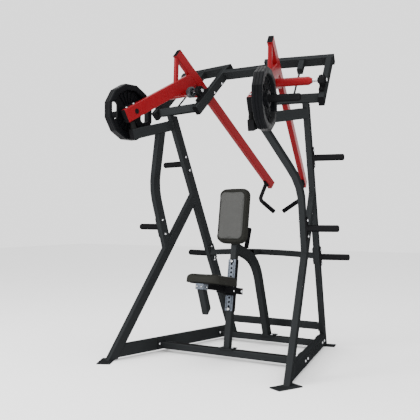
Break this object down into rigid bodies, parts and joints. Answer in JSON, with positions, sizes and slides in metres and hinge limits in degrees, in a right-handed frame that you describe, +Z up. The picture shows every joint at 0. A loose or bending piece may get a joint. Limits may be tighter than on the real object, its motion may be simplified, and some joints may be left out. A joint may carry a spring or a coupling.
{
  "type": "plate-loaded row machine",
  "caption": "Plate-loaded row machine: splayed steel frame, lever arms with hanging handles and loading horns, chest pad and adjustable seat on a leaning column.",
  "frame": {"origin": "on the floor, under the middle of the machine's bounding box", "axes": "+X to the user's right, +Y the way the seated user faces, towards the chest pad and the handles, +Z up"},
  "size_m": [1.7206, 1.8148, 2.3679],
  "materials": {
    "frame_coat": "fine-textured satin powder coat, charcoal black",
    "arm_coat": "gloss powder coat, red",
    "black_coat": "semi-gloss black powder coat",
    "track_zinc": "bright blue-white zinc plate",
    "bright_steel": "bright machined steel",
    "plate_rubber": "moulded rubber, slight sheen",
    "bumper_rubber": "matte moulded rubber",
    "pad_vinyl": "grained upholstery vinyl, grey-olive front",
    "pad_border": "grained upholstery vinyl, near black border",
    "cap_plastic": "moulded end caps",
    "grip_rubber": "soft foam-rubber grip",
    "anti_slip": "gritty anti-slip strip"
  },
  "bodies": {
    "frame": {"left_straight_post": "frame_coat", "left_diagonal_post": "frame_coat", "left_base_beam": "frame_coat", "left_stub_beam": "frame_coat", "left_bent_post": "frame_coat", "left_rest_bumper": "bumper_rubber", "left_front_foot": "frame_coat", "left_rear_foot": "frame_coat", "left_upper_horn": "black_coat", "left_middle_horn": "black_coat", "left_lower_horn": "black_coat", "left_inner_cheek": "frame_coat", "left_outer_cheek": "frame_coat", "left_inner_pillow_block": "black_coat", "left_outer_pillow_block": "black_coat", "left_pivot_front_tube": "frame_coat", "left_pivot_rear_tube": "frame_coat", "right_straight_post": "frame_coat", "right_diagonal_post": "frame_coat", "right_base_beam": "frame_coat", "right_stub_beam": "frame_coat", "right_bent_post": "frame_coat", "right_rest_bumper": "bumper_rubber", "right_front_foot": "frame_coat", "right_rear_foot": "frame_coat", "right_upper_horn": "black_coat", "right_middle_horn": "black_coat", "right_lower_horn": "black_coat", "right_inner_cheek": "frame_coat", "right_outer_cheek": "frame_coat", "right_inner_pillow_block": "black_coat", "right_outer_pillow_block": "black_coat", "right_pivot_front_tube": "frame_coat", "right_pivot_rear_tube": "frame_coat", "front_crossbar": "frame_coat", "rear_low_crossbar": "frame_coat", "rear_upper_crossbar": "frame_coat", "middle_crossbar": "frame_coat", "overhead_beam": "frame_coat", "column": "frame_coat", "adjuster_track": "track_zinc", "curved_brace": "frame_coat", "brace_handle": "black_coat", "chest_backing": "black_coat", "chest_pad": "pad_vinyl"},
    "left_arm": {"left_lever_arm": "arm_coat", "left_axle": "bright_steel", "left_loading_horn": "black_coat", "left_handle": "black_coat"},
    "left_plate": {"left_weight_plate": "plate_rubber"},
    "right_arm": {"right_lever_arm": "arm_coat", "right_axle": "bright_steel", "right_loading_horn": "black_coat", "right_handle": "black_coat"},
    "right_plate": {"right_weight_plate": "plate_rubber"},
    "seat": {"seat_carriage": "black_coat", "seat_pad": "pad_vinyl", "seat_clamp_bracket": "track_zinc", "seat_drop_tube": "frame_coat"},
    "pin": {"pop_pin": "bright_steel"}
  },
  "joints": [
    {"name": "left_arm_swing", "type": "hinge", "parent": "frame", "child": "left_arm", "pos_m": [-0.37561, -0.17734, 2.048], "axis": [-0.9799, 0.1994, 0], "range_deg": [0, 45]},
    {"name": "left_plate_slide", "type": "slide", "parent": "left_arm", "child": "left_plate", "axis": [-0.9799, 0.1994, 0], "range_m": [0, 0.16]},
    {"name": "right_arm_swing", "type": "hinge", "parent": "frame", "child": "right_arm", "pos_m": [0.37561, -0.17734, 2.048], "axis": [-0.9799, -0.1994, 0], "range_deg": [0, 45]},
    {"name": "right_plate_slide", "type": "slide", "parent": "right_arm", "child": "right_plate", "axis": [0.9799, 0.1994, 0], "range_m": [0, 0.16]},
    {"name": "seat_height", "type": "slide", "parent": "frame", "child": "seat", "axis": [0, 0.1547, 0.988], "range_m": [-0.064, 0.128]},
    {"name": "pin_pull", "type": "slide", "parent": "seat", "child": "pin", "axis": [0, -0.988, 0.1547], "range_m": [0, 0.018], "stiffness_N_per_m": 900, "springref_m": -0.008}
  ]
}
